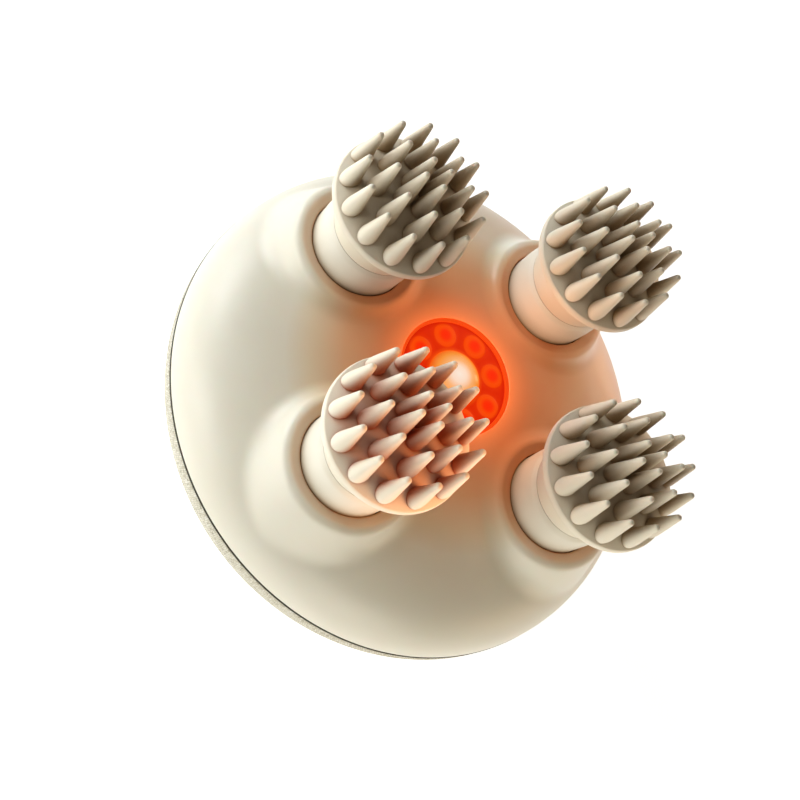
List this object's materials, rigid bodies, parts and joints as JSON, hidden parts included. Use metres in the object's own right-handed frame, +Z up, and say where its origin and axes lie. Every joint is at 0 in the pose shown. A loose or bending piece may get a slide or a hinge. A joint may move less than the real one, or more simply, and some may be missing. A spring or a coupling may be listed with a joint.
{
  "type": "scalp massager",
  "caption": "Round handheld scalp massager with turning spiked silicone heads, a red light window and a cloth covered palm grip.",
  "frame": {"origin": "centre of the flat base cap, at the surface that it stands on", "axes": "+Z up through the light window, out of the heads; +X towards the right head and +Y towards the back head"},
  "size_m": [0.0994, 0.0994, 0.0866],
  "materials": {
    "ivory_shell": "satin",
    "inner_plastic": "matte",
    "woven_cloth": "woven",
    "dark_gasket": "matte",
    "silicone": "soft matte",
    "neck_plastic": "satin",
    "motor_steel": "satin",
    "shaft_steel": "ground",
    "screw_steel": "satin",
    "bush_bronze": "satin",
    "gear_nylon": "satin",
    "cell_wrap": "gloss",
    "circuit_board": "satin",
    "chip_black": "matte",
    "red_light": "gloss",
    "red_window": "gloss",
    "dark_red_ring": "gloss",
    "glowing_lens": "gloss",
    "grey_button": "satin",
    "ivory_silicone": "soft matte"
  },
  "bodies": {
    "housing": {"front_shell": "ivory_shell", "rear_shell": "inner_plastic", "fabric_cover": "woven_cloth", "seam_ring": "dark_gasket", "base_cap": "ivory_shell", "chassis": "inner_plastic", "gear_cover": "inner_plastic", "gear_motor": "motor_steel", "battery": "cell_wrap", "battery_cradle": "inner_plastic", "main_board": "circuit_board", "board_parts": "chip_black", "button_switch": "chip_black", "port_board": "circuit_board", "charge_port": "shaft_steel", "led_cup": "inner_plastic", "led_board": "circuit_board", "led_chips": "red_light", "light_window": "red_window", "window_ring": "dark_red_ring", "centre_lens": "glowing_lens", "neck_seals": "dark_gasket", "lower_bushes": "bush_bronze", "upper_bushes": "bush_bronze", "frame_screws": "screw_steel", "cover_screws": "screw_steel", "motor_screws": "screw_steel"},
    "drive": {"drive_shaft": "shaft_steel", "sun_gear": "gear_nylon"},
    "power_button": {"power_button": "grey_button"},
    "port_cover": {"port_cover": "ivory_silicone"},
    "head_left": {"massage_head_left": "silicone", "neck_hub_left": "neck_plastic", "spindle_left": "shaft_steel", "spindle_gear_left": "gear_nylon"},
    "head_back": {"massage_head_back": "silicone", "neck_hub_back": "neck_plastic", "spindle_back": "shaft_steel", "spindle_gear_back": "gear_nylon"},
    "head_right": {"massage_head_right": "silicone", "neck_hub_right": "neck_plastic", "spindle_right": "shaft_steel", "spindle_gear_right": "gear_nylon"},
    "head_front": {"massage_head_front": "silicone", "neck_hub_front": "neck_plastic", "spindle_front": "shaft_steel", "spindle_gear_front": "gear_nylon"}
  },
  "joints": [
    {"name": "drive_spin", "type": "hinge", "parent": "housing", "child": "drive", "pos_m": [0, 0, 0.042], "axis": [0, 0, 1], "continuous": true},
    {"name": "head_left_spin", "type": "hinge", "parent": "housing", "child": "head_left", "pos_m": [-0.03, 0, 0.05], "axis": [0, 0, 1], "continuous": true},
    {"name": "head_back_spin", "type": "hinge", "parent": "housing", "child": "head_back", "pos_m": [0, 0.03, 0.05], "axis": [0, 0, 1], "continuous": true},
    {"name": "head_right_spin", "type": "hinge", "parent": "housing", "child": "head_right", "pos_m": [0.03, 0, 0.05], "axis": [0, 0, 1], "continuous": true},
    {"name": "head_front_spin", "type": "hinge", "parent": "housing", "child": "head_front", "pos_m": [0, -0.03, 0.05], "axis": [0, 0, 1], "continuous": true},
    {"name": "button_press", "type": "slide", "parent": "housing", "child": "power_button", "axis": [0, 0, 1], "range_m": [0, 0.0012], "stiffness_N_per_m": 600, "springref_m": -0.0005},
    {"name": "port_flap_hinge", "type": "hinge", "parent": "housing", "child": "port_cover", "pos_m": [0.03465, 0.03465, 0.0395], "axis": [-0.7071, 0.7071, 0], "range_deg": [0, 95], "stiffness_Nm_per_rad": 0.0005}
  ],
  "couplings": [
    {"joint": "head_left_spin", "follows": "drive_spin", "ratio": -1.5},
    {"joint": "head_back_spin", "follows": "drive_spin", "ratio": -1.5},
    {"joint": "head_right_spin", "follows": "drive_spin", "ratio": -1.5},
    {"joint": "head_front_spin", "follows": "drive_spin", "ratio": -1.5}
  ]
}
